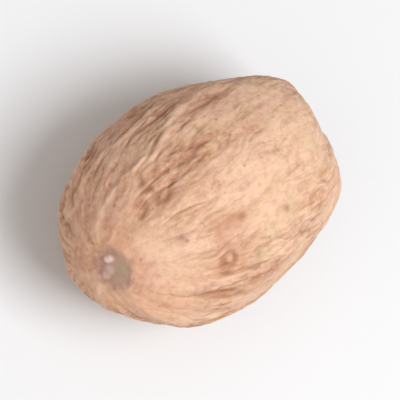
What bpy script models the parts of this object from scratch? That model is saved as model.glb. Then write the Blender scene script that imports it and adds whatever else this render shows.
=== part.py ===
"""A whole nutmeg: the dried seed of one piece, lying on its side on a small flat spot.

Metres, +Z up. The long axis runs along X, with the broad hilum end at -X, and the
origin is under the middle of the nut, on the surface that it rests on.
"""

import math

import bmesh
import bpy
from mathutils import Matrix, Vector

# Driving dimensions
LENGTH = 0.0260
WIDTH = 0.0193
HEIGHT = 0.0189

# Form of the ovoid
TAPER = 0.025  # how much slimmer the chalaza end is than the middle
HILUM_BLUNTNESS = 2.15  # 2 is an ellipse, more is squarer
CHALAZA_BLUNTNESS = 2.40
BLUNTNESS_BLEND = 0.6  # how far each side of the middle one end's form passes into the other's
FLATS = (  # which way each pressed flat faces, and how deep it is
    (Vector((0.90, -0.14, 0.41)), 0.00042),  # across the chalaza end
    (Vector((0.22, -0.93, 0.28)), 0.00025),  # along the near flank
    (Vector((0.41, 0.90, 0.18)), 0.00034),  # the far shoulder
    (Vector((-0.75, -0.58, -0.32)), 0.00026),  # beside the hilum
)
FLAT_BLEND = 0.0011
REST_TILT = math.radians(5.0)  # the hilum end lies a little higher than the other
REST_CUT = 0.00026  # how much the flat spot takes off the belly

# Scars at the two ends, as angles up from the long axis, seen from the middle
HILUM_ANGLE = math.radians(17.0)
HILUM_RADIUS = 0.0019
HILUM_DEPTH = 0.00022
CHALAZA_ANGLE = math.radians(-9.0)
CHALAZA_RADIUS = 0.0013
CHALAZA_DEPTH = 0.00050
CHALAZA_RIM = 0.00012

# The raphe groove and the low folds, which all run from scar to scar
RAPHE_LONGITUDE = math.radians(212.0)
RAPHE_WIDTH = 0.0011
RAPHE_DEPTH = 0.00042
FOLD_DEPTH = 0.00013
FOLD_WAVES = (  # folds around the nut, share of the depth, sway, and sways along the nut
    (9, 0.6, 0.45, 3.2),
    (19, 0.4, 0.90, 4.7),
)
PATCH_WAVES = 3  # around the nut, where the folds stand out more
PATCH_CONTRAST = 0.4
PATCH_SLANT = 2.4
SCAR_REACH = 0.0070  # the folds fade out within this distance of the line between the scars

# Mesh
SPANS = 26  # quads along one edge of the rounded cube

SEED_COAT = (0.60, 0.37, 0.25, 1.0)
SEED_COAT_ROUGHNESS = 0.82

HALF_SIZE = Vector((LENGTH, WIDTH, HEIGHT)) / 2


def clear_scene():
    for old in list(bpy.data.objects):
        bpy.data.objects.remove(old, do_unlink=True)


def smoothstep(low, high, value):
    t = min(max((value - low) / (high - low), 0.0), 1.0)
    return t * t * (3 - 2 * t)


def bell(distance, width):
    return math.exp(-((distance / width) ** 2))


def press_flat(point, facing, depth):
    """Presses the surface in to a plane that lies depth below the ovoid's own tangent plane."""
    normal = facing.normalized()
    reach = Vector(half * n for half, n in zip(HALF_SIZE, normal)).length - depth
    over = point.dot(normal) - reach
    if over < -FLAT_BLEND:
        return point
    if over < FLAT_BLEND:
        over = (over + FLAT_BLEND) ** 2 / (4 * FLAT_BLEND)
    return point - normal * over


def ovoid(direction):
    """The smooth egg shape, as a point for each direction of the unit sphere."""
    end = smoothstep(-BLUNTNESS_BLEND, BLUNTNESS_BLEND, direction.x)
    bluntness = HILUM_BLUNTNESS + (CHALAZA_BLUNTNESS - HILUM_BLUNTNESS) * end
    around = math.hypot(direction.y, direction.z)
    swell = (abs(direction.x) ** bluntness + around**bluntness) ** (-1 / bluntness)
    slimming = 1 - TAPER * direction.x
    point = Vector(
        (
            direction.x * HALF_SIZE.x,
            direction.y * HALF_SIZE.y * slimming,
            direction.z * HALF_SIZE.z * slimming,
        )
    )
    return point * swell


def scar_place(side, angle):
    """A scar's middle on the ovoid; side is -1 for the hilum end and 1 for the other."""
    across = math.tan(angle) * HALF_SIZE.x / HALF_SIZE.z
    return ovoid(Vector((side, 0.0, across)).normalized())


HILUM = scar_place(-1, HILUM_ANGLE)
CHALAZA = scar_place(1, CHALAZA_ANGLE)


def longitude_at(point):
    """The angle around the line from scar to scar, and the distance from it."""
    share = (point.x - HILUM.x) / (CHALAZA.x - HILUM.x)
    middle = HILUM.lerp(CHALAZA, min(max(share, 0.0), 1.0))
    aside = point.y - middle.y
    above = point.z - middle.z
    return math.atan2(above, aside), math.hypot(aside, above)


def folds(longitude, along):
    """The low waves of the shrunken seed coat, between -1 and 1; along is -1 at the hilum end."""
    height = 0.0
    for count, share, sway, pace in FOLD_WAVES:
        height += share * math.cos(count * longitude + sway * math.sin(pace * along + longitude))
    patch = PATCH_CONTRAST * math.sin(PATCH_WAVES * longitude + PATCH_SLANT * along)
    return height * (1 - PATCH_CONTRAST + patch)


def relief(point):
    """How far the surface stands out from the smooth ovoid."""
    longitude, radius = longitude_at(point)
    fade = smoothstep(0.0, SCAR_REACH, radius)
    height = FOLD_DEPTH * fade * folds(longitude, point.x / HALF_SIZE.x)

    turn = (longitude - RAPHE_LONGITUDE + math.pi) % (2 * math.pi) - math.pi
    height -= RAPHE_DEPTH * fade * bell(turn * radius, RAPHE_WIDTH)

    height -= HILUM_DEPTH * bell((point - HILUM).length, HILUM_RADIUS)
    from_chalaza = (point - CHALAZA).length
    height -= CHALAZA_DEPTH * bell(from_chalaza, CHALAZA_RADIUS)
    height += CHALAZA_RIM * bell(from_chalaza - 1.6 * CHALAZA_RADIUS, 0.5 * CHALAZA_RADIUS)
    return height


def surface(direction):
    point = ovoid(direction)
    for facing, depth in FLATS:
        point = press_flat(point, facing, depth)
    outward = Vector(p / half**2 for p, half in zip(point, HALF_SIZE)).normalized()
    return point + outward * relief(point)


def cube_to_sphere(place):
    """Spreads a grid on a cube's faces evenly over the unit sphere."""
    return Vector(math.tan(c * math.pi / 4) for c in place).normalized()


def lay_on_flat_spot(mesh):
    """Tips the nut, presses the belly flat where it rests, and centres it over the origin."""
    mesh.transform(Matrix.Rotation(REST_TILT, 4, "Y"))
    rest_height = min(v.co.z for v in mesh.verts) + REST_CUT
    for vert in mesh.verts:
        vert.co.z = max(vert.co.z, rest_height)
    low = Vector(min(v.co[i] for v in mesh.verts) for i in range(3))
    high = Vector(max(v.co[i] for v in mesh.verts) for i in range(3))
    mesh.transform(Matrix.Translation((-(low.x + high.x) / 2, -(low.y + high.y) / 2, -low.z)))


def seed_coat():
    material = bpy.data.materials.new("seed_coat")
    material.use_nodes = True
    shader = material.node_tree.nodes["Principled BSDF"]
    shader.inputs["Base Color"].default_value = SEED_COAT
    shader.inputs["Roughness"].default_value = SEED_COAT_ROUGHNESS
    shader.inputs["Metallic"].default_value = 0.0
    return material


def build_nutmeg(collection):
    form = bmesh.new()
    bmesh.ops.create_cube(form, size=2.0)
    bmesh.ops.subdivide_edges(form, edges=form.edges[:], cuts=SPANS - 1, use_grid_fill=True)
    for vert in form.verts:
        vert.co = surface(cube_to_sphere(vert.co))
    lay_on_flat_spot(form)
    bmesh.ops.recalc_face_normals(form, faces=form.faces[:])

    mesh = bpy.data.meshes.new("nutmeg")
    form.to_mesh(mesh)
    form.free()
    mesh.materials.append(seed_coat())
    mesh.shade_smooth()
    nutmeg = bpy.data.objects.new("nutmeg", mesh)
    collection.objects.link(nutmeg)
    return nutmeg


def main():
    clear_scene()
    collection = bpy.data.collections.new("Whole nutmeg")
    bpy.context.scene.collection.children.link(collection)
    build_nutmeg(collection)


main()
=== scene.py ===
"""The looks of a whole nutmeg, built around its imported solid, with a plain stage to show it on.

The nut is one dried seed. Everything on its coat runs between two scars: the hilum, a smooth
grey patch at the broad end, and the chalaza, a dark pit at the other. Places on the coat are
given as a share of the way from hilum to chalaza, and degrees around from the far side over
the top. Lengths on the coat are in millimetres. A ramp is given as where it starts and ends,
then as its values there, where those aren't 0 and 1.
"""

import math
from typing import NamedTuple

import bpy
from bpy.props import FloatProperty, FloatVectorProperty, IntProperty, PointerProperty
from mathutils import Matrix, Vector


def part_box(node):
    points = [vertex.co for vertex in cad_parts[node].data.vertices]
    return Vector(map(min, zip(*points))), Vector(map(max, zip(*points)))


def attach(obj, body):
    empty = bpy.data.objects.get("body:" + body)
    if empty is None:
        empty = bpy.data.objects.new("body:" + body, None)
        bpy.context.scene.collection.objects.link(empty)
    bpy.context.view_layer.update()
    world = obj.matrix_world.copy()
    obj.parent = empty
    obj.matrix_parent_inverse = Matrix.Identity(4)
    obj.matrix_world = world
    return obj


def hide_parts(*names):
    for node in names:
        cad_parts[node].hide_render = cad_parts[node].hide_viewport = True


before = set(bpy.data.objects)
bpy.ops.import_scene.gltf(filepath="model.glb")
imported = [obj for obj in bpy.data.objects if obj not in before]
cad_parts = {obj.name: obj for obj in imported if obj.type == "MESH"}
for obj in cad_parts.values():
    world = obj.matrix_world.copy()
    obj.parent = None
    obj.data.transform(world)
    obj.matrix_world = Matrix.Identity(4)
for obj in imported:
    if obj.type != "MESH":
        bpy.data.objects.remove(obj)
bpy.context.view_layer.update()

bl_info = {
    "name": "Whole Nutmeg",
    "version": (1, 0, 0),
    "blender": (4, 5, 0),
    "location": "3D View > Sidebar > Nutmeg",
    "description": "Models a whole dried nutmeg in its frame and sets a plain stage under it",
    "category": "Add Mesh",
}

NODE = "nutmeg"
MM = 0.001

BOX_LOW, BOX_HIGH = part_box(NODE)
MIDDLE = (Vector(BOX_LOW) + Vector(BOX_HIGH)) / 2
HALF = (Vector(BOX_HIGH) - Vector(BOX_LOW)) / 2

# Rounding of the first form: smoothing passes that take out the solid's facets
SMOOTH_PASSES = 24
SMOOTH_FACTOR = 0.5

# The scars' places, as angles above the level line through the middle of the nut
HILUM_RISE = math.radians(22.0)
CHALAZA_RISE = math.radians(-14.0)

# Fields that the relief leaves on the mesh for the coat's finish
PLACE = "place"
GRAIN = "grain"
OUTWARD = "outward"
REACH = "reach"  # the distance from the line between the scars
FURROW = "furrow"
CREST = "crest"
PLAIN = "plain_tan"
PINKER_SKIN_AND_PAINTED_SHADE = "pinker"
RUDDY_SKIN_AND_PAINTED_LIGHT = "ruddy"
SALLOW = "sallow"
STAIN = "stain"
HILUM = "hilum"
HILUM_GREEN = "hilum_green"
NUB = "hilum_nub"
PIT = "chalaza"
RUBBED = "rubbed"

FAR = 100.0  # more than any distance on the nut
NOISE_RANGE = (0.2, 0.8)  # nearly all of a soft noise is between these

# The grain strays to each side, and runs slowly along the nut and evenly around it
GRAIN_STRAY = 3.4
GRAIN_STRAY_SIZE = 5.5
GRAIN_SPREAD_POWER = 0.35

# Drawn marks are shaken out of their true lines and rounds
SHAKE = 1.1
SHAKE_SIZE = 1.4

# The hilum's patch, its greenish half and its nubs: places aside of and above the scar's middle,
# then the nubs' radius and how pale they are, partly their own pale tone and partly a painted
# highlight
HILUM_PATCH = (-0.60, 0.12)
HILUM_FULL = 1.30  # the patch is at its full strength up to here
HILUM_END = 2.45
HILUM_RAGGED = 0.4
HILUM_RAGGED_SIZE = 0.6
HILUM_DEPTH = 0.06
HILUM_RELIEF_LEFT = 0.35  # share of the coat's relief that goes on under the patch
HILUM_RIM_RADIUS = 1.9
HILUM_RIM_WIDTH = 0.35
HILUM_RIM_HEIGHT = 0.05
HILUM_GREEN_HALF = (-1.15, 1.20)
HILUM_GREEN_RADIUS = 1.3
HILUM_NUBS = (
    (0.40, 0.36, 0.32, 1.0),
    (0.32, 0.70, 0.30, 1.0),
    (-0.42, -0.20, 0.44, 0.40),
    (-0.62, -0.85, 0.40, 0.45),
)
NUB_EDGE = (0.4, 1.5)  # in shares of its radius
NUB_HEIGHT = 0.20

CHALAZA_RADIUS = 0.85
CHALAZA_DEPTH = 0.45
CHALAZA_RAGGED = 0.45
CHALAZA_RAGGED_SIZE = 0.7

# Lines that stand out from the rest, as places on the way
RIDGE_PATHS = (
    ((0.02, 8), (0.06, 23), (0.15, 31), (0.24, 41), (0.34, 46), (0.41, 43), (0.54, 36)),
    ((0.01, -34), (0.04, -14), (0.12, -2), (0.21, 8), (0.32, 18), (0.43, 25)),
)
RIDGE_WIDTH = 0.30
RIDGE_START = (2.0, 4.5)  # the distances over which the ridges rise
RIDGE_HEIGHT = 0.14
RIDGE_PALENESS = 0.9
GROOVE_PATHS = (
    ((0.25, 74), (0.31, 70), (0.37, 65), (0.45, 67)),
    ((0.45, 61), (0.53, 65)),
    ((0.15, 70), (0.19, 65), (0.24, 66)),
)
GROOVE_WIDTH = 0.26
GROOVE_DEPTH = 0.16
GROOVE_DARKNESS = 0.60
GROOVE_UNEVEN_SIZE = 0.9
GROOVE_UNEVEN = (0.35, 0.6, 0.45, 1.0)

# Short dark cracks: place, length, width, depth, and slant in degrees
CRACKS = (
    (0.235, 51, 1.2, 0.50, 0.16, 25),
    (0.24, 60, 1.0, 0.30, 0.12, -12),
    (0.39, 56, 1.5, 0.26, 0.10, 10),
    (0.49, 48, 1.8, 0.24, 0.10, 5),
)
CRACK_DARKNESS = 0.75

# Small pits: place, radius and depth
POCKS = (
    (0.15, 67, 0.26, 0.07),
    (0.19, 61, 0.24, 0.07),
    (0.225, 107, 0.28, 0.09),
    (0.45, 112, 0.34, 0.07),
    (0.46, 139, 0.30, 0.07),
    (0.62, 121, 0.36, 0.05),
    (0.73, 76, 0.28, 0.06),
)
POCK_DARKNESS = 0.50

# Healed pocks, a ring-shaped groove around a low bump: place, radius and depth
RINGS = (
    (0.34, 134, 0.66, 0.15),
    (0.21, 101, 0.50, 0.04),
)
RING_WIDTH = 0.24
RING_DARKNESS = 3.4  # for each millimetre of its depth
RING_BUMP = 4.0  # share of the bump's height for each millimetre of the groove's depth
RING_BUMP_HEIGHT = 0.10

# Rust-coloured stains: place, length, width and strength
STAINS = (
    (0.35, 134, 2.04, 2.04, 0.55),
    (0.38, 143, 1.56, 1.20, 0.60),
    (0.30, 140, 1.20, 1.20, 0.45),
    (0.35, 119, 1.32, 3.60, 0.65),
    (0.41, 112, 3.36, 1.08, 0.65),
    (0.42, 161, 3.84, 0.96, 0.35),
    (0.83, 116, 1.92, 0.72, 0.50),
    (0.60, 152, 3.12, 0.72, 0.50),
    (0.70, 250, 3.60, 1.92, 0.50),
    (0.30, 300, 2.88, 1.68, 0.60),
)
MARK_REACH = 3.0  # how deep into the nut a long mark's oval goes

# Fine wrinkles along the grain, grit and shallow dimples: their sizes, and their heights in
# shares of the wrinkle depth
WRINKLE_START = (1.2, 6.5)
WRINKLE_SIZE = 0.75
WRINKLE_SHARE = 2.0
GRIT_SIZE = 0.55
GRIT_SHARE = 1.2
DIMPLE_SIZE = 1.1
DIMPLE_SHARE = 2.6

# The wrinkles are deeper in some wide patches than in others
DEEPER_SIZE = 6.0
DEEPER_RANGE = (0.30, 0.58)
DEEPER_WHERE_RUBBED = -0.30
DEEPER_DEPTHS = (0.55, 1.25)

# How much of the lines' relief is left where the coat is rubbed and where it is pinker
LINES_WHERE_RUBBED = (0.25, 0.95, 1.0, 0.30)
LINES_WHERE_PINKER = (0.2, 0.9, 1.0, 0.6)

# Where handling has rubbed the coat smooth and pale: place and radius
RUBBED_PATCHES = (
    (0.56, 106, 6.4),
    (0.84, 95, 5.0),
    (0.90, 138, 4.4),
    (0.80, 72, 3.6),
    (0.14, 132, 4.6),
    (0.40, 174, 2.8),
    (0.60, 162, 2.8),
    (0.14, 178, 3.0),
    (0.80, 60, 3.0),
    (0.62, 59, 2.0),
    (0.46, 52, 1.5),
    (0.03, 195, 2.4),
    (0.90, 75, 3.0),
    (0.12, 104, 2.4),
    (0.24, 116, 2.2),
    (0.29, 34, 1.7),
)

# Patches of pinker skin and painted warm shade, of ruddier skin and painted light, of yellowish
# and of plain tan skin: place and radius
PINK_SKIN_AND_PAINTED_SHADE_PATCHES = (
    (0.04, 150, 2.1),
    (0.38, 121, 1.4),
    # Painted warm shade: this patch, the next and the last give the coat the pinker tone it takes
    # in shade and warm reflected light; the first two are the skin's own pink
    (0.12, 14, 4.2),
    (0.30, 10, 3.4),
    (0.60, 38, 2.4),
)
# Partly painted light: these patches are brighter than the tan and lift the hilum end, which the
# key light leaves darker; their warmth is partly the skin's own
RUDDY_SKIN_AND_PAINTED_LIGHT_PATCHES = (
    (0.01, 215, 3.6),
    (0.01, 150, 2.6),
    (0.06, 185, 3.0),
    (0.10, -20, 3.0),
)
SALLOW_PATCHES = (
    (0.73, 77, 0.7),
    (0.85, 98, 0.9),
    (0.65, 122, 1.0),
    (0.53, 128, 0.8),
    (0.47, 139, 0.6),
)
TAN_PATCHES = (
    (0.36, 140, 3.0),
    (0.30, 64, 3.4),
    (0.10, 30, 3.6),
)

# The stage
UPWARDS = Vector((0.0, 0.0, 1.0))
FLOOR_SIZE = 6.0
FLOOR_ROUGHNESS = 0.9
FLOOR_SPECULAR = 0.1
SENSOR = 36.0
CLIP_START = 0.01


class Lamp(NamedTuple):
    """A soft light: where it is from the nut, in degrees and metres, and how wide it is."""

    name: str
    azimuth: float  # 0 is at -Y and 90 at +X
    elevation: float
    distance: float
    size: float


KEY = Lamp("Key", azimuth=18, elevation=63, distance=0.40, size=0.22)
FILL = Lamp("Fill", azimuth=262, elevation=52, distance=0.60, size=0.60)


class Sheet:
    """A node tree, written as plain sums: each call adds a node and gives its output."""

    def __init__(self, tree):
        self.tree = tree

    def add(self, kind, inputs=None, **settings):
        node = self.tree.nodes.new(kind)
        for name, value in settings.items():
            setattr(node, name, value)
        for key, value in (inputs or {}).items():
            self.feed(node.inputs[key], value)
        return node

    def feed(self, socket, value):
        if isinstance(value, bpy.types.NodeSocket):
            self.tree.links.new(value, socket)
        else:
            socket.default_value = value

    def math(self, operation, *values):
        node = self.add("ShaderNodeMath", dict(enumerate(values)), operation=operation)
        return node.outputs[0]

    def total(self, *values):
        result = values[0]
        for value in values[1:]:
            result = self.math("ADD", result, value)
        return result

    def product(self, *values):
        result = values[0]
        for value in values[1:]:
            result = self.math("MULTIPLY", result, value)
        return result

    def most(self, *values):
        result = values[0]
        for value in values[1:]:
            result = self.math("MAXIMUM", result, value)
        return result

    def vector(self, operation, *values):
        node = self.add("ShaderNodeVectorMath", dict(enumerate(values)), operation=operation)
        single = operation in {"LENGTH", "DOT_PRODUCT", "DISTANCE"}
        return node.outputs["Value" if single else "Vector"]

    def scaled(self, vector, factor):
        node = self.add("ShaderNodeVectorMath", {0: vector, "Scale": factor}, operation="SCALE")
        return node.outputs["Vector"]

    def parts(self, vector):
        return self.add("ShaderNodeSeparateXYZ", {0: vector}).outputs

    def join(self, x, y=0.0, z=0.0):
        return self.add("ShaderNodeCombineXYZ", {0: x, 1: y, 2: z}).outputs[0]

    def ramp(self, value, low, high, to_low=0.0, to_high=1.0, curve="SMOOTHSTEP"):
        """Passes from to_low to to_high as value goes from low to high."""
        inputs = {0: value, 1: low, 2: high, 3: to_low, 4: to_high}
        return self.add("ShaderNodeMapRange", inputs, interpolation_type=curve).outputs[0]

    def clouds(self, place, size, detail=2.0, roughness=0.5):
        """The node of a soft noise, its features about size across."""
        inputs = {"Vector": place, "Scale": 1 / size, "Detail": detail, "Roughness": roughness}
        return self.add("ShaderNodeTexNoise", inputs)

    def noise(self, place, size, detail=2.0, roughness=0.5):
        """Soft noise between 0 and 1."""
        return self.clouds(place, size, detail, roughness).outputs["Fac"]

    def swell(self, place, size, detail=2.0):
        """Soft noise either side of nothing."""
        return self.math("SUBTRACT", self.noise(place, size, detail), 0.5)

    def stray(self, place, size, amount, detail=2.0):
        """A soft shift, its way and length its own at each place."""
        shift = self.clouds(place, size, detail).outputs["Color"]
        return self.scaled(self.vector("SUBTRACT", shift, (0.5, 0.5, 0.5)), amount)

    def ragged(self, place, size, amount):
        """What to add to a distance for a ragged edge."""
        edge = self.noise(place, size, detail=3.0)
        return self.ramp(edge, *NOISE_RANGE, -amount, amount, "LINEAR")

    def cells(self, place, size):
        return self.add("ShaderNodeTexVoronoi", {"Vector": place, "Scale": 1 / size}).outputs

    def bell(self, distance, width):
        """One at no distance, falling smoothly to nothing well past width."""
        share = self.math("DIVIDE", distance, width)
        return self.math("EXPONENT", self.product(share, share, -1.0))

    def distance(self, place, spot):
        return self.vector("DISTANCE", place, spot)

    def mix(self, share, first, second):
        """Colours, blended."""
        node = self.add("ShaderNodeMix", {0: share, 6: first, 7: second}, data_type="RGBA")
        return node.outputs[2]

    def read(self, name):
        return self.add("ShaderNodeAttribute", attribute_name=name).outputs["Fac"]

    def read_vector(self, name):
        return self.add("ShaderNodeAttribute", attribute_name=name).outputs["Vector"]


class Lines(NamedTuple):
    """One set of lines that wander from scar to scar."""

    count: int  # how many there are around the nut
    width: float
    height: float  # less than nothing for a groove
    sway: float  # how far they wander to each side
    bend: float  # how long their bends are
    shown: float  # how much of each line shows, from 0 to 1
    near: float  # they start this far from the line between the scars
    far: float  # and are at their full strength from here on
    colour: float  # how far they take on the chalk or the brown


RIDGES = (
    Lines(11, 0.75, 0.07, sway=0.8, bend=5.0, shown=0.60, near=1.6, far=3.2, colour=0.50),
    Lines(23, 0.32, 0.06, sway=1.3, bend=3.6, shown=0.50, near=3.0, far=6.0, colour=0.60),
    Lines(47, 0.22, 0.03, sway=1.0, bend=2.4, shown=0.45, near=5.0, far=8.0, colour=0.45),
)
GROOVES = (
    Lines(19, 0.27, -0.13, sway=1.8, bend=4.2, shown=0.42, near=3.0, far=6.0, colour=0.65),
    Lines(34, 0.20, -0.09, sway=1.5, bend=3.0, shown=0.45, near=3.5, far=7.0, colour=0.55),
    Lines(61, 0.16, -0.05, sway=1.2, bend=2.0, shown=0.50, near=5.0, far=8.0, colour=0.45),
    Lines(97, 0.12, -0.02, sway=0.9, bend=1.4, shown=0.50, near=6.0, far=9.0, colour=0.35),
)
GIRTH = 9.6  # radius of the nut around its long axis
BEND_STRETCH = (0.45, 1.0, 1.0)  # bends are longer along the nut than around it
FAMILY_STEP = (1.0, -0.7, 0.3)  # how far apart in the noise two sets of lines read their bends
LINE_STEP = 3.7  # and two lines of a set their gaps
BEND_SWING = 4  # for a noise that usually swings a quarter each way
GAP_LENGTH = 2.0  # how long a line's gaps are, in bends
GAP_SHIFT = 0.3  # how far a gap's edge moves in the noise from a line all shown to one all hidden
GAP_EDGE = (-0.05, 0.07)


def wandering(sheet, place, outward, reach, lines):
    """Where a set of lines is, from 0 to 1; each line has its own bends and its own gaps."""
    spacing = 2 * math.pi * GIRTH / lines.count
    x, _, _ = sheet.parts(place)
    _, across, up = sheet.parts(outward)
    turn = sheet.math("DIVIDE", sheet.math("ARCTAN2", up, across), 2 * math.pi)
    drawn = sheet.vector("MULTIPLY", place, BEND_STRETCH)
    own = sheet.vector("ADD", drawn, Vector(FAMILY_STEP) * lines.count)
    bends = sheet.math("SUBTRACT", sheet.noise(own, lines.bend, roughness=0.55), 0.5)
    phase = sheet.total(
        sheet.product(turn, lines.count), sheet.product(bends, BEND_SWING * lines.sway / spacing)
    )
    index = sheet.math("WRAP", sheet.math("FLOOR", phase), 0.0, float(lines.count))
    off = sheet.math("ABSOLUTE", sheet.math("SUBTRACT", sheet.math("FRACT", phase), 0.5))
    line = sheet.bell(sheet.product(off, spacing), lines.width)
    run = sheet.join(
        sheet.product(x, 1 / (GAP_LENGTH * lines.bend)), sheet.product(index, LINE_STEP)
    )
    life = sheet.noise(run, 1.0, detail=1.0)
    middle = 0.5 + GAP_SHIFT * (0.5 - lines.shown)
    fade_in, fade_out = GAP_EDGE
    shown = sheet.ramp(life, middle + fade_in, middle + fade_out)
    start = sheet.ramp(reach, lines.near, lines.far)
    return sheet.product(line, shown, start)


class Wash(NamedTuple):
    """A colour laid on over part of a noise's range, more at one end of it than the other."""

    low: float
    high: float
    at_low: float
    at_high: float
    colour: str
    masks: tuple = ()  # what holds it back


class Mottling(NamedTuple):
    """One noise in the coat's colour: where it runs along the grain, its clouds are drawn out."""

    along: str
    size: float
    detail: float
    roughness: float
    washes: tuple


SKIN_TINT = Mottling(
    PLACE,
    size=1.9,
    detail=3.0,
    roughness=0.6,
    washes=(Wash(0.48, 0.66, 0.0, 0.75, "cream"), Wash(0.28, 0.48, 0.50, 0.0, "pink")),
)
STREAKS = Mottling(
    GRAIN,
    size=0.50,
    detail=3.0,
    roughness=0.6,
    washes=(
        Wash(0.36, 0.54, 0.50, 0.0, "brown", ("calm", "away")),
        Wash(0.52, 0.68, 0.0, 0.50, "chalk", ("away", "calm")),
    ),
)
BANDS = Mottling(
    GRAIN,
    size=1.15,
    detail=3.0,
    roughness=0.6,
    washes=(
        Wash(0.36, 0.50, 0.55, 0.0, "rust", ("calm", "away")),
        Wash(0.52, 0.64, 0.0, 0.55, "chalk", ("away",)),
    ),
)
MOTTLE = Mottling(
    PLACE,
    size=0.8,
    detail=3.0,
    roughness=0.65,
    washes=(Wash(0.32, 0.52, 0.45, 0.0, "rust", ("handled",)),),
)
FLECKS = Mottling(
    PLACE,
    size=0.55,
    detail=2.0,
    roughness=0.55,
    washes=(Wash(0.30, 0.48, 0.15, 0.0, "brown"), Wash(0.52, 0.68, 0.0, 0.40, "chalk")),
)

STREAK_START = (2.5, 7.0)  # the distances from the line between the scars that they fade in over

# How pale the coat is: its clouds, and what rubbing and plain tan skin add to them
CLOUD_DRAWN_SIZE = 3.4
CLOUD_ROUND_SIZE = 3.0
CLOUD_RANGE = (0.38, 0.76)
CLOUD_WHERE_RUBBED = 0.30
CLOUD_WHERE_PLAIN = -0.24

# What is left of the streaks, bands and lines where the coat is rubbed and where it is pinker,
# and what is left of the mottle where it is rubbed
STREAKS_WHERE_RUBBED = (0.2, 0.9, 1.0, 0.28)
STREAKS_WHERE_PINKER = (0.2, 0.9, 1.0, 0.6)
MOTTLE_WHERE_RUBBED = (0.2, 0.9, 1.0, 0.55)

# What is laid on as far as a field says: the field, its colour and its strength
# The pinker layer is partly painted warm shade, and the ruddy layer partly painted light on the
# hilum end
UNDER_LINES = ((PINKER_SKIN_AND_PAINTED_SHADE, "pink", 0.75), (RUDDY_SKIN_AND_PAINTED_LIGHT, "ruddy", 0.60))
OVER_LINES = (
    (SALLOW, "sallow", 0.50),
    (STAIN, "rust", 0.80),
    (FURROW, "brown", 1.0),
    (CREST, "chalk", 0.75),
    (HILUM, "scar", 0.78),
)
# The nubs' pale colour is partly their own tone and partly a painted highlight
ON_HILUM = ((HILUM_GREEN, "scar_green", 0.75), (NUB, "nub", 0.75))

# The brown that mottles the hilum, and the brown of the chalaza's pit
HILUM_MOTTLE = (0.35, 0.60, 0.35, 0.0)
PIT_DARKNESS = (0.15, 1.0, 0.0, 0.95)

# The coat's roughness, which follows the mottle, and what the hilum and its nubs add to it
ROUGHNESS = (0.3, 0.7, 0.72, 0.90)
ROUGHNESS_ON_HILUM = -0.25
ROUGHNESS_ON_NUBS = -0.20
COAT_SPECULAR = 0.35

# Small dark pores, in only some of the cells
PORE_SPACING = 0.95
PORE_EDGE = (0.08, 0.22)  # in shares of the spacing
PORE_CHANCE = (0.55, 0.75)
PORE_DARKNESS = 0.40

# The coat's finest relief, in its bump, and how much of each kind there is
BUMP_STRENGTH = 0.7
BUMP_DISTANCE = 0.10
BUMP_GRIT_SIZE = 0.30
BUMP_GRIT = 0.6
BUMP_THREAD_SIZE = 0.32
BUMP_THREAD = 0.5
BUMP_PORE = -0.4


class NutmegCoatSettings(bpy.types.PropertyGroup):
    """Sizes and colours of the seed coat."""

    levels: IntProperty(
        name="Fineness",
        description="Times that the first cube is divided",
        default=7,
        min=3,
        max=7,
    )
    line_strength: FloatProperty(
        name="Line strength",
        description="Height of the ridges and depth of the grooves, as a part of the usual",
        default=1.35,
        min=0.0,
    )
    wrinkle_depth: FloatProperty(
        name="Wrinkle depth",
        description="Height of the fine wrinkles, grit and dimples",
        default=0.048 * MM,
        precision=5,
        unit="LENGTH",
    )
    stretch: FloatProperty(
        name="Stretch",
        description="How many times longer than wide the grain is",
        default=3.2,
    )
    chalk: FloatVectorProperty(
        name="Chalk",
        description="Palest, chalky parts of the coat",
        default=(0.80, 0.535, 0.38),
        subtype="COLOR",
    )
    tan: FloatVectorProperty(
        name="Tan",
        description="Usual colour of the coat",
        default=(0.625, 0.343, 0.214),
        subtype="COLOR",
    )
    cream: FloatVectorProperty(
        name="Cream",
        description="The yellower patches of the chalk",
        default=(0.73, 0.50, 0.30),
        subtype="COLOR",
    )
    # Also laid over the pinker patches, which are partly the skin's own pink and partly painted
    # warm shade
    pink: FloatVectorProperty(
        name="Pink",
        description="The pinker patches of the tan",
        default=(0.62, 0.34, 0.25),
        subtype="COLOR",
    )
    # Brighter than the tan: partly the warmer skin under the hilum, partly painted light on that
    # shaded end
    ruddy: FloatVectorProperty(
        name="Ruddy",
        description="The warmer skin under the hilum",
        default=(0.80, 0.41, 0.245),
        subtype="COLOR",
    )
    sallow: FloatVectorProperty(
        name="Sallow",
        description="Small yellowish stains on the pale side",
        default=(0.66, 0.50, 0.29),
        subtype="COLOR",
    )
    brown: FloatVectorProperty(
        name="Brown",
        description="Furrows and worn patches",
        default=(0.26, 0.104, 0.052),
        subtype="COLOR",
    )
    rust: FloatVectorProperty(
        name="Rust",
        description="Reddish stains",
        default=(0.46, 0.19, 0.10),
        subtype="COLOR",
    )
    scar: FloatVectorProperty(
        name="Scar",
        description="The mauve-grey hilum",
        default=(0.43, 0.245, 0.195),
        subtype="COLOR",
    )
    scar_green: FloatVectorProperty(
        name="Scar, green half",
        description="The grey-green half of the hilum",
        default=(0.44, 0.335, 0.225),
        subtype="COLOR",
    )
    # Partly the nubs' own pale tone, partly a painted highlight on them
    nub: FloatVectorProperty(
        name="Nub",
        description="The pale nubs on the hilum",
        default=(0.90, 0.68, 0.62),
        subtype="COLOR",
    )


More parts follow.
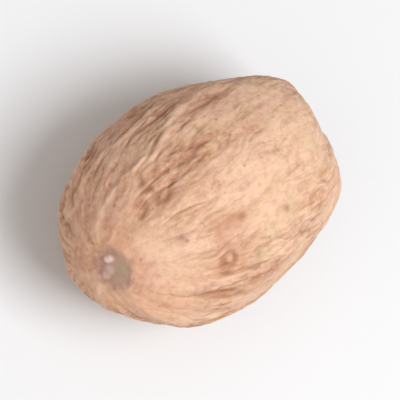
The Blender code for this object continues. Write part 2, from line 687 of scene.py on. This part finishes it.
class NutmegStageSettings(bpy.types.PropertyGroup):
    """The floor, the light and the camera."""

    camera_elevation: FloatProperty(
        name="Camera elevation",
        description="Height of the camera above the floor's plane, over the hilum end",
        default=math.radians(71.5),
        subtype="ANGLE",
    )
    frame_turn: FloatProperty(
        name="Turn in the frame",
        description="How far the nut's long axis rises to the right in the picture",
        default=math.radians(35.0),
        subtype="ANGLE",
    )
    frame_width: FloatProperty(
        name="Frame width",
        description="Width that the camera sees at the nut's middle",
        default=34.0 * MM,
        unit="LENGTH",
    )
    camera_distance: FloatProperty(
        name="Camera distance",
        description="From the nut's middle",
        default=0.40,
        unit="LENGTH",
    )
    floor_colour: FloatVectorProperty(
        name="Floor",
        description="Colour of the floor",
        default=(0.775, 0.80, 0.83),
        subtype="COLOR",
    )
    key_power: FloatProperty(
        name="Key light",
        description="Power of the soft light from the right",
        default=1.35,
    )
    key_colour: FloatVectorProperty(
        name="Key light colour",
        description="Colour of the soft light from the right",
        default=(1.0, 1.0, 1.0),
        subtype="COLOR",
    )
    fill_power: FloatProperty(
        name="Fill light",
        description="Power of the wide light from the left",
        default=0.5,
    )
    fill_colour: FloatVectorProperty(
        name="Fill light colour",
        description="Colour of the wide light from the left",
        default=(1.0, 0.86, 0.76),
        subtype="COLOR",
    )
    room_light: FloatProperty(
        name="Room light",
        description="Strength of the even light all round",
        default=0.45,
    )
    room_colour: FloatVectorProperty(
        name="Room light colour",
        description="Colour of the even light all round",
        default=(1.0, 0.955, 0.91),
        subtype="COLOR",
    )


def deselect_all():
    bpy.ops.object.select_all(action="DESELECT")


def apply_modifier(piece, kind, name, **settings):
    """Adds a modifier to the active piece and applies it."""
    modifier = piece.modifiers.new(name, kind)
    for key, value in settings.items():
        setattr(modifier, key, value)
    bpy.ops.object.modifier_apply(modifier=modifier.name)


def way_out(start, way):
    """The point where a line from inside the nut comes out of its solid."""
    hit, point, _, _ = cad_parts[NODE].ray_cast(start, way)
    if not hit:
        raise RuntimeError("The solid has no surface this way")
    return point


HILUM_AT = way_out(MIDDLE, Vector((-math.cos(HILUM_RISE), 0.0, math.sin(HILUM_RISE))))
CHALAZA_AT = way_out(MIDDLE, Vector((math.cos(CHALAZA_RISE), 0.0, math.sin(CHALAZA_RISE))))


def scar_point(aside, above):
    """The coat's point aside of and above the hilum's middle, in millimetres."""
    way = HILUM_AT + Vector((0.0, aside, above)) * MM - MIDDLE
    return way_out(MIDDLE, way) / MM


def outward_at(around):
    turn = math.radians(around)
    return Vector((0.0, math.cos(turn), math.sin(turn)))


def coat_point(share, around):
    """The coat's point at a share of the way and degrees around, in millimetres."""
    return way_out(HILUM_AT.lerp(CHALAZA_AT, share), outward_at(around)) / MM


def grain_at(spot, around, slant):
    """The directions along the grain, across it and out of the coat, turned by a slant."""
    outward = outward_at(around)
    outward.x = (spot.x * MM - MIDDLE.x) * (HALF.y / HALF.x) ** 2 / HALF.y
    outward.normalize()
    along = Vector((1.0, 0.0, 0.0))
    along = (along - outward * along.dot(outward)).normalized()
    slanted = Matrix.Rotation(math.radians(slant), 3, outward)
    return slanted @ along, slanted @ outward.cross(along), outward


def oval_at(sheet, place, share, around, length, width, slant=0.0):
    """A soft-edged oval on the coat, long along the grain."""
    spot = coat_point(share, around)
    away = sheet.vector("SUBTRACT", place, spot)
    square = 0.0
    for way, half in zip(grain_at(spot, around, slant), (length / 2, width / 2, MARK_REACH)):
        part = sheet.math("DIVIDE", sheet.vector("DOT_PRODUCT", away, way), half)
        square = sheet.total(square, sheet.product(part, part))
    return sheet.math("EXPONENT", sheet.product(square, -1.0))


def from_path(sheet, place, path):
    """The distance from a line drawn through places on the coat."""
    stops = [coat_point(share, around) for share, around in path]
    nearest = FAR
    for start, end in zip(stops, stops[1:]):
        way = end - start
        away = sheet.vector("SUBTRACT", place, start)
        along = sheet.vector("DOT_PRODUCT", away, way / way.length_squared)
        held = sheet.math("MINIMUM", sheet.math("MAXIMUM", along, 0.0), 1.0)
        gap = sheet.vector("LENGTH", sheet.vector("SUBTRACT", away, sheet.scaled(way, held)))
        nearest = sheet.math("MINIMUM", nearest, gap)
    return nearest


def patches_at(sheet, place, patches):
    """Round, soft-edged patches at places on the coat."""
    cover = 0.0
    for share, around, radius in patches:
        gap = sheet.distance(place, coat_point(share, around))
        cover = sheet.most(cover, sheet.bell(gap, radius))
    return cover


def grain_fields(sheet, place, stretch):
    """The distance from the line between the scars, the way out from it, and the grain."""
    x, _, _ = sheet.parts(place)
    hilum, chalaza = HILUM_AT / MM, CHALAZA_AT / MM
    share = sheet.ramp(x, hilum.x, chalaza.x, curve="LINEAR")
    middle = sheet.add("ShaderNodeMix", {0: share, 4: hilum, 5: chalaza}, data_type="VECTOR")
    aside = sheet.vector("SUBTRACT", place, middle.outputs[1])
    aside = sheet.vector("MULTIPLY", aside, (0, 1, 1))
    reach = sheet.vector("LENGTH", aside)
    outward = sheet.vector("NORMALIZE", aside)

    girth = HALF.y / MM
    spread = sheet.math("POWER", sheet.math("DIVIDE", reach, girth), GRAIN_SPREAD_POWER)
    arcs = sheet.scaled(outward, sheet.product(spread, girth))
    run = sheet.join(sheet.math("DIVIDE", x, stretch))
    stray = sheet.stray(place, GRAIN_STRAY_SIZE, GRAIN_STRAY, detail=1.5)
    grain = sheet.vector("ADD", sheet.vector("ADD", arcs, run), stray)
    return reach, outward, grain


def line_relief(sheet, place, outward, reach):
    """The height of the ridges and grooves that wander from scar to scar."""
    height = 0.0
    for lines in RIDGES + GROOVES:
        mark = wandering(sheet, place, outward, reach, lines)
        height = sheet.total(height, sheet.product(mark, lines.height))
    return height


def drawn_crests(sheet, shaken, reach):
    """Where the ridges that stand out are."""
    crest = 0.0
    for path in RIDGE_PATHS:
        crest = sheet.most(crest, sheet.bell(from_path(sheet, shaken, path), RIDGE_WIDTH))
    return sheet.product(crest, sheet.ramp(reach, *RIDGE_START))


def hollows(sheet, place, shaken):
    """How dark and how deep grooves, cracks, pocks and rings are, and the bumps in the rings."""
    dark, depth, bump = 0.0, 0.0, 0.0
    uneven = sheet.ramp(sheet.noise(place, GROOVE_UNEVEN_SIZE), *GROOVE_UNEVEN)
    for path in GROOVE_PATHS:
        mark = sheet.product(sheet.bell(from_path(sheet, shaken, path), GROOVE_WIDTH), uneven)
        dark = sheet.most(dark, sheet.product(mark, GROOVE_DARKNESS))
        depth = sheet.most(depth, sheet.product(mark, GROOVE_DEPTH))
    for share, around, length, width, deep, slant in CRACKS:
        mark = oval_at(sheet, shaken, share, around, length, width, slant)
        dark = sheet.most(dark, sheet.product(mark, CRACK_DARKNESS))
        depth = sheet.most(depth, sheet.product(mark, deep))
    for share, around, radius, deep in POCKS:
        mark = sheet.bell(sheet.distance(shaken, coat_point(share, around)), radius)
        dark = sheet.most(dark, sheet.product(mark, POCK_DARKNESS))
        depth = sheet.total(depth, sheet.product(mark, deep))
    for share, around, radius, deep in RINGS:
        away = sheet.distance(shaken, coat_point(share, around))
        mark = sheet.bell(sheet.math("SUBTRACT", away, radius), RING_WIDTH)
        dark = sheet.most(dark, sheet.product(mark, RING_DARKNESS * deep))
        depth = sheet.total(depth, sheet.product(mark, deep))
        bump = sheet.most(bump, sheet.product(sheet.bell(away, radius / 2), RING_BUMP * deep))
    return dark, depth, bump


def stained(sheet, shaken):
    stains = 0.0
    for share, around, length, width, strength in STAINS:
        mark = oval_at(sheet, shaken, share, around, length, width)
        stains = sheet.most(stains, sheet.product(mark, strength))
    return stains


def hilum_fields(sheet, place):
    """The hilum's patch, its greenish half, its nubs and its rim."""
    away = sheet.distance(place, scar_point(*HILUM_PATCH))
    away = sheet.total(away, sheet.ragged(place, HILUM_RAGGED_SIZE, HILUM_RAGGED))
    patch = sheet.ramp(away, HILUM_FULL, HILUM_END, 1.0, 0.0)
    from_green = sheet.distance(place, scar_point(*HILUM_GREEN_HALF))
    green_half = sheet.product(sheet.bell(from_green, HILUM_GREEN_RADIUS), patch)
    nubs = 0.0
    full, end = NUB_EDGE
    for aside, above, radius, pale in HILUM_NUBS:
        gap = sheet.distance(place, scar_point(aside, above))
        nubs = sheet.most(nubs, sheet.ramp(gap, full * radius, end * radius, pale, 0.0))
    rim = sheet.bell(sheet.math("SUBTRACT", away, HILUM_RIM_RADIUS), HILUM_RIM_WIDTH)
    return patch, green_half, nubs, rim


def chalaza_pit(sheet, place):
    away = sheet.distance(place, CHALAZA_AT / MM)
    away = sheet.total(away, sheet.ragged(place, CHALAZA_RAGGED_SIZE, CHALAZA_RAGGED))
    return sheet.bell(away, CHALAZA_RADIUS)


def fine_relief(sheet, place, grain, reach, rubbed, depth):
    """Fine wrinkles, which fade out at the scars and where the coat is rubbed, and grit."""
    patches = sheet.noise(place, DEEPER_SIZE, detail=1.0)
    handled = sheet.product(rubbed, DEEPER_WHERE_RUBBED)
    deeper = sheet.ramp(sheet.total(patches, handled), *DEEPER_RANGE)
    wrinkles = sheet.product(
        sheet.swell(grain, WRINKLE_SIZE, detail=3.0),
        sheet.ramp(reach, *WRINKLE_START),
        sheet.ramp(deeper, 0.0, 1.0, *DEEPER_DEPTHS),
        WRINKLE_SHARE * depth,
    )
    grit = sheet.product(sheet.swell(place, GRIT_SIZE), GRIT_SHARE * depth)
    dimples = sheet.product(sheet.swell(place, DIMPLE_SIZE, detail=1.0), DIMPLE_SHARE * depth)
    return sheet.total(wrinkles, grit, dimples)


def relief_tree(coat):
    """The seed coat's relief, with the fields that its finish needs."""
    tree = bpy.data.node_groups.new("Nutmeg relief", "GeometryNodeTree")
    tree.interface.new_socket("Geometry", in_out="INPUT", socket_type="NodeSocketGeometry")
    tree.interface.new_socket("Geometry", in_out="OUTPUT", socket_type="NodeSocketGeometry")
    sheet = Sheet(tree)
    position = sheet.add("GeometryNodeInputPosition").outputs[0]
    place = sheet.scaled(position, 1 / MM)
    reach, outward, grain = grain_fields(sheet, place, coat.stretch)
    shaken = sheet.vector("ADD", place, sheet.stray(place, SHAKE_SIZE, SHAKE))
    rubbed = patches_at(sheet, place, RUBBED_PATCHES)
    pinker = patches_at(sheet, place, PINK_SKIN_AND_PAINTED_SHADE_PATCHES)
    crest = drawn_crests(sheet, shaken, reach)
    dark, depth, bump = hollows(sheet, place, shaken)
    patch, green_half, nubs, rim = hilum_fields(sheet, place)
    pit = chalaza_pit(sheet, place)

    height = sheet.total(
        sheet.product(
            line_relief(sheet, place, outward, reach),
            sheet.ramp(rubbed, *LINES_WHERE_RUBBED),
            sheet.ramp(pinker, *LINES_WHERE_PINKER),
            coat.line_strength,
        ),
        fine_relief(sheet, place, grain, reach, rubbed, coat.wrinkle_depth / MM),
        sheet.product(crest, RIDGE_HEIGHT),
        sheet.product(depth, -1.0),
        sheet.product(bump, RING_BUMP_HEIGHT),
        sheet.product(pit, -CHALAZA_DEPTH),
    )
    height = sheet.total(
        sheet.product(height, sheet.ramp(patch, 0.0, 1.0, 1.0, HILUM_RELIEF_LEFT)),
        sheet.product(nubs, NUB_HEIGHT),
        sheet.product(rim, HILUM_RIM_HEIGHT),
        sheet.product(patch, -HILUM_DEPTH),
    )
    normal = sheet.add("GeometryNodeInputNormal").outputs[0]
    shift = sheet.scaled(normal, sheet.product(height, MM))
    x, y, z = sheet.parts(sheet.vector("ADD", position, shift))
    rested = sheet.join(x, y, sheet.math("MAXIMUM", z, 0.0))

    vectors = {PLACE: place, OUTWARD: outward, GRAIN: grain}
    numbers = {
        REACH: reach,
        FURROW: dark,
        CREST: sheet.most(sheet.product(crest, RIDGE_PALENESS), bump),
        PLAIN: patches_at(sheet, shaken, TAN_PATCHES),
        # The pinker field holds painted warm shade as well as pink skin, and the ruddy one
        # painted light as well as warmer skin
        PINKER_SKIN_AND_PAINTED_SHADE: pinker,
        RUDDY_SKIN_AND_PAINTED_LIGHT: patches_at(sheet, place, RUDDY_SKIN_AND_PAINTED_LIGHT_PATCHES),
        SALLOW: patches_at(sheet, shaken, SALLOW_PATCHES),
        STAIN: stained(sheet, shaken),
        HILUM: patch,
        HILUM_GREEN: green_half,
        NUB: nubs,
        PIT: pit,
        RUBBED: rubbed,
    }
    flow = sheet.add("NodeGroupInput").outputs[0]
    for kind, fields in (("FLOAT_VECTOR", vectors), ("FLOAT", numbers)):
        for name, value in fields.items():
            store = sheet.add(
                "GeometryNodeStoreNamedAttribute",
                {"Geometry": flow, "Name": name},
                data_type=kind,
                domain="POINT",
            )
            sheet.feed(store.inputs["Value"], value)
            flow = store.outputs[0]
    shifted = sheet.add("GeometryNodeSetPosition", {"Geometry": flow, "Position": rested})
    sheet.add("NodeGroupOutput", {0: shifted.outputs[0]})
    return tree


class Paint:
    """The coat's colour, built up over the plain tan."""

    def __init__(self, sheet, coat):
        self.sheet = sheet
        self.coat = coat
        self.body = self.colour("tan")

    def colour(self, name):
        return (*getattr(self.coat, name), 1.0)

    def lay(self, name, *shares):
        """Lays on a colour as far as the shares, times each other, say."""
        share = self.sheet.product(*shares)
        self.body = self.sheet.mix(share, self.body, self.colour(name))

    def lay_fields(self, layers):
        """Lays on each colour as far as its field and its strength say."""
        for field, name, strength in layers:
            self.lay(name, self.sheet.read(field), strength)

    def wash(self, mottling, masks):
        """Lays on a noise's colours, and gives the noise."""
        place = self.sheet.read_vector(mottling.along)
        noise = self.sheet.noise(place, mottling.size, mottling.detail, mottling.roughness)
        for wash in mottling.washes:
            share = self.sheet.ramp(noise, wash.low, wash.high, wash.at_low, wash.at_high)
            self.lay(wash.colour, share, *(masks[name] for name in wash.masks))
        return noise


def cloudy_chalk(sheet, place, grain, away):
    """How pale the coat is, in soft clouds that are drawn out along the grain."""
    drawn = sheet.noise(grain, CLOUD_DRAWN_SIZE, detail=3.0, roughness=0.55)
    rounded = sheet.noise(place, CLOUD_ROUND_SIZE, detail=3.0, roughness=0.55)
    near = sheet.math("SUBTRACT", 1.0, away)
    clouds = sheet.total(sheet.product(drawn, away), sheet.product(rounded, near))
    rubbed = sheet.product(sheet.read(RUBBED), CLOUD_WHERE_RUBBED)
    plain = sheet.product(sheet.read(PLAIN), CLOUD_WHERE_PLAIN)
    return sheet.ramp(sheet.total(clouds, rubbed, plain), *CLOUD_RANGE)


def pores_at(sheet, place):
    """Small dark pores, in only some of the cells."""
    cells = sheet.cells(place, PORE_SPACING)
    chance, _, _ = sheet.parts(cells["Color"])
    pore = sheet.ramp(cells["Distance"], *PORE_EDGE, 1.0, 0.0)
    return sheet.product(pore, sheet.ramp(chance, *PORE_CHANCE))


def coat_material(coat):
    """The dry, chalky seed coat: pale where it is rubbed, brown in its furrows."""
    material = bpy.data.materials.new("Nutmeg seed coat")
    material.use_nodes = True
    shader = material.node_tree.nodes["Principled BSDF"]
    sheet = Sheet(material.node_tree)
    place = sheet.read_vector(PLACE)
    outward = sheet.read_vector(OUTWARD)
    grain = sheet.read_vector(GRAIN)
    reach = sheet.read(REACH)
    rubbed = sheet.read(RUBBED)
    pinker = sheet.read(PINKER_SKIN_AND_PAINTED_SHADE)
    hilum = sheet.read(HILUM)
    away = sheet.ramp(reach, *STREAK_START)
    calm = sheet.product(
        sheet.ramp(rubbed, *STREAKS_WHERE_RUBBED), sheet.ramp(pinker, *STREAKS_WHERE_PINKER)
    )
    masks = {"away": away, "calm": calm, "handled": sheet.ramp(rubbed, *MOTTLE_WHERE_RUBBED)}

    paint = Paint(sheet, coat)
    paint.lay("chalk", cloudy_chalk(sheet, place, grain, away))
    paint.wash(SKIN_TINT, masks)
    paint.lay_fields(UNDER_LINES)
    paint.wash(STREAKS, masks)
    paint.wash(BANDS, masks)
    mottle = paint.wash(MOTTLE, masks)
    paint.wash(FLECKS, masks)
    pore = pores_at(sheet, place)
    paint.lay("brown", pore, PORE_DARKNESS)
    for lines in RIDGES:
        paint.lay("chalk", wandering(sheet, place, outward, reach, lines), lines.colour, calm)
    for lines in GROOVES:
        paint.lay("brown", wandering(sheet, place, outward, reach, lines), lines.colour, calm)
    paint.lay_fields(OVER_LINES)
    paint.lay("brown", sheet.ramp(mottle, *HILUM_MOTTLE), hilum)
    paint.lay_fields(ON_HILUM)
    paint.lay("brown", sheet.ramp(sheet.read(PIT), *PIT_DARKNESS, "LINEAR"))
    sheet.feed(shader.inputs["Base Color"], paint.body)

    roughness = sheet.total(
        sheet.ramp(mottle, *ROUGHNESS),
        sheet.product(hilum, ROUGHNESS_ON_HILUM),
        sheet.product(sheet.read(NUB), ROUGHNESS_ON_NUBS),
    )
    sheet.feed(shader.inputs["Roughness"], roughness)
    shader.inputs["Specular IOR Level"].default_value = COAT_SPECULAR

    grit = sheet.noise(place, BUMP_GRIT_SIZE, detail=4.0, roughness=0.7)
    thread = sheet.noise(grain, BUMP_THREAD_SIZE)
    height = sheet.total(
        sheet.product(grit, BUMP_GRIT),
        sheet.product(thread, away, BUMP_THREAD),
        sheet.product(pore, BUMP_PORE),
    )
    bump = sheet.add(
        "ShaderNodeBump",
        {"Strength": BUMP_STRENGTH, "Distance": BUMP_DISTANCE * MM, "Height": height},
    )
    sheet.feed(shader.inputs["Normal"], bump.outputs[0])
    return material


class NUTMEG_OT_seed(bpy.types.Operator):
    """Models the nutmeg: a rounded form drawn on to its solid, then given its coat's relief."""

    bl_idname = "nutmeg.seed"
    bl_label = "Nutmeg"

    def execute(self, context):
        coat = context.scene.nutmeg_coat
        seed = self.add_round_form(context, coat.levels)
        self.draw_on_solid(seed)
        apply_modifier(seed, "NODES", "Relief", node_group=relief_tree(coat))
        seed.data.shade_smooth()
        seed.data.materials.append(coat_material(coat))
        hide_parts(NODE)
        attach(seed, "root")
        return {"FINISHED"}

    def add_round_form(self, context, levels):
        """A cube, divided and rounded to a ball, then stretched to the solid's box."""
        deselect_all()
        bpy.ops.mesh.primitive_cube_add(size=2.0)
        seed = context.active_object
        seed.name = "nutmeg_seed"
        apply_modifier(seed, "SUBSURF", "Rounding", levels=levels, render_levels=levels)
        bpy.ops.object.mode_set(mode="EDIT")
        bpy.ops.mesh.select_all(action="SELECT")
        bpy.ops.transform.tosphere(value=1.0)
        bpy.ops.object.mode_set(mode="OBJECT")
        radius = max(v.co.length for v in seed.data.vertices)
        seed.scale = HALF / radius
        seed.location = MIDDLE
        bpy.ops.object.transform_apply(location=True, rotation=True, scale=True)
        return seed

    def draw_on_solid(self, seed):
        apply_modifier(
            seed,
            "SHRINKWRAP",
            "On the solid",
            target=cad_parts[NODE],
            wrap_method="PROJECT",
            use_negative_direction=True,
            use_positive_direction=True,
        )
        apply_modifier(
            seed, "SMOOTH", "Softened facets", factor=SMOOTH_FACTOR, iterations=SMOOTH_PASSES
        )


def aim(item, target, up=UPWARDS):
    """Turns a camera or a lamp to look at a point, with up towards the top of its view."""
    back = (item.location - target).normalized()
    right = up.cross(back).normalized()
    turned = Matrix((right, back.cross(right), back)).transposed()
    item.rotation_mode = "QUATERNION"
    item.rotation_quaternion = turned.to_quaternion()


def add_lamp(lamp, power, colour):
    """A square soft light that faces the nut."""
    deselect_all()
    bpy.ops.object.light_add(type="AREA")
    light = bpy.context.active_object
    light.name = lamp.name
    light.data.shape = "SQUARE"
    light.data.size = lamp.size
    light.data.energy = power
    light.data.color = colour
    azimuth = math.radians(lamp.azimuth)
    elevation = math.radians(lamp.elevation)
    level = math.cos(elevation)
    way = Vector((math.sin(azimuth) * level, -math.cos(azimuth) * level, math.sin(elevation)))
    light.location = MIDDLE + way * lamp.distance
    aim(light, MIDDLE)


class NUTMEG_OT_stage(bpy.types.Operator):
    """Sets a pale floor, soft light from the right and a camera that looks down on the nut."""

    bl_idname = "nutmeg.stage"
    bl_label = "Stage"

    def execute(self, context):
        stage = context.scene.nutmeg_stage
        self.lay_floor(stage)
        add_lamp(KEY, stage.key_power, stage.key_colour)
        add_lamp(FILL, stage.fill_power, stage.fill_colour)
        self.light_room(context, stage)
        self.place_camera(context, stage)
        context.scene.view_settings.view_transform = "Standard"
        return {"FINISHED"}

    def lay_floor(self, stage):
        deselect_all()
        bpy.ops.mesh.primitive_plane_add(size=FLOOR_SIZE)
        floor = bpy.context.active_object
        floor.name = "floor"
        paper = bpy.data.materials.new("Pale paper")
        paper.use_nodes = True
        shader = paper.node_tree.nodes["Principled BSDF"]
        shader.inputs["Base Color"].default_value = (*stage.floor_colour, 1.0)
        shader.inputs["Roughness"].default_value = FLOOR_ROUGHNESS
        shader.inputs["Specular IOR Level"].default_value = FLOOR_SPECULAR
        floor.data.materials.append(paper)

    def light_room(self, context, stage):
        world = bpy.data.worlds.new("Studio")
        world.use_nodes = True
        background = world.node_tree.nodes["Background"]
        background.inputs["Color"].default_value = (*stage.room_colour, 1.0)
        background.inputs["Strength"].default_value = stage.room_light
        context.scene.world = world

    def place_camera(self, context, stage):
        deselect_all()
        bpy.ops.object.camera_add()
        camera = context.active_object
        camera.name = "Camera"
        camera.data.sensor_width = SENSOR
        camera.data.lens = SENSOR * stage.camera_distance / stage.frame_width
        camera.data.clip_start = CLIP_START
        lean = math.pi / 2 - stage.camera_elevation
        back = Vector((-math.sin(lean), 0.0, math.cos(lean)))
        along = Vector((math.cos(lean), 0.0, math.sin(lean)))
        across = Vector((0.0, 1.0, 0.0))
        up = along * math.sin(stage.frame_turn) + across * math.cos(stage.frame_turn)
        camera.location = MIDDLE + back * stage.camera_distance
        aim(camera, MIDDLE, up)
        context.scene.camera = camera


class NUTMEG_PT_panel(bpy.types.Panel):
    """Lists the nut and its stage, with their settings."""

    bl_idname = "NUTMEG_PT_panel"
    bl_label = "Whole Nutmeg"
    bl_space_type = "VIEW_3D"
    bl_region_type = "UI"
    bl_category = "Nutmeg"

    def draw(self, context):
        for operator, settings in (
            (NUTMEG_OT_seed, context.scene.nutmeg_coat),
            (NUTMEG_OT_stage, context.scene.nutmeg_stage),
        ):
            box = self.layout.box()
            box.operator(operator.bl_idname)
            for name in settings.bl_rna.properties.keys():
                if name not in {"rna_type", "name"}:
                    box.prop(settings, name)


CLASSES = (
    NutmegCoatSettings,
    NutmegStageSettings,
    NUTMEG_OT_seed,
    NUTMEG_OT_stage,
    NUTMEG_PT_panel,
)


def register():
    for item in CLASSES:
        bpy.utils.register_class(item)
    bpy.types.Scene.nutmeg_coat = PointerProperty(type=NutmegCoatSettings)
    bpy.types.Scene.nutmeg_stage = PointerProperty(type=NutmegStageSettings)


def unregister():
    del bpy.types.Scene.nutmeg_stage
    del bpy.types.Scene.nutmeg_coat
    for item in reversed(CLASSES):
        bpy.utils.unregister_class(item)


def main():
    register()
    bpy.ops.nutmeg.seed()
    bpy.ops.nutmeg.stage()


if __name__ == "__main__":
    main()
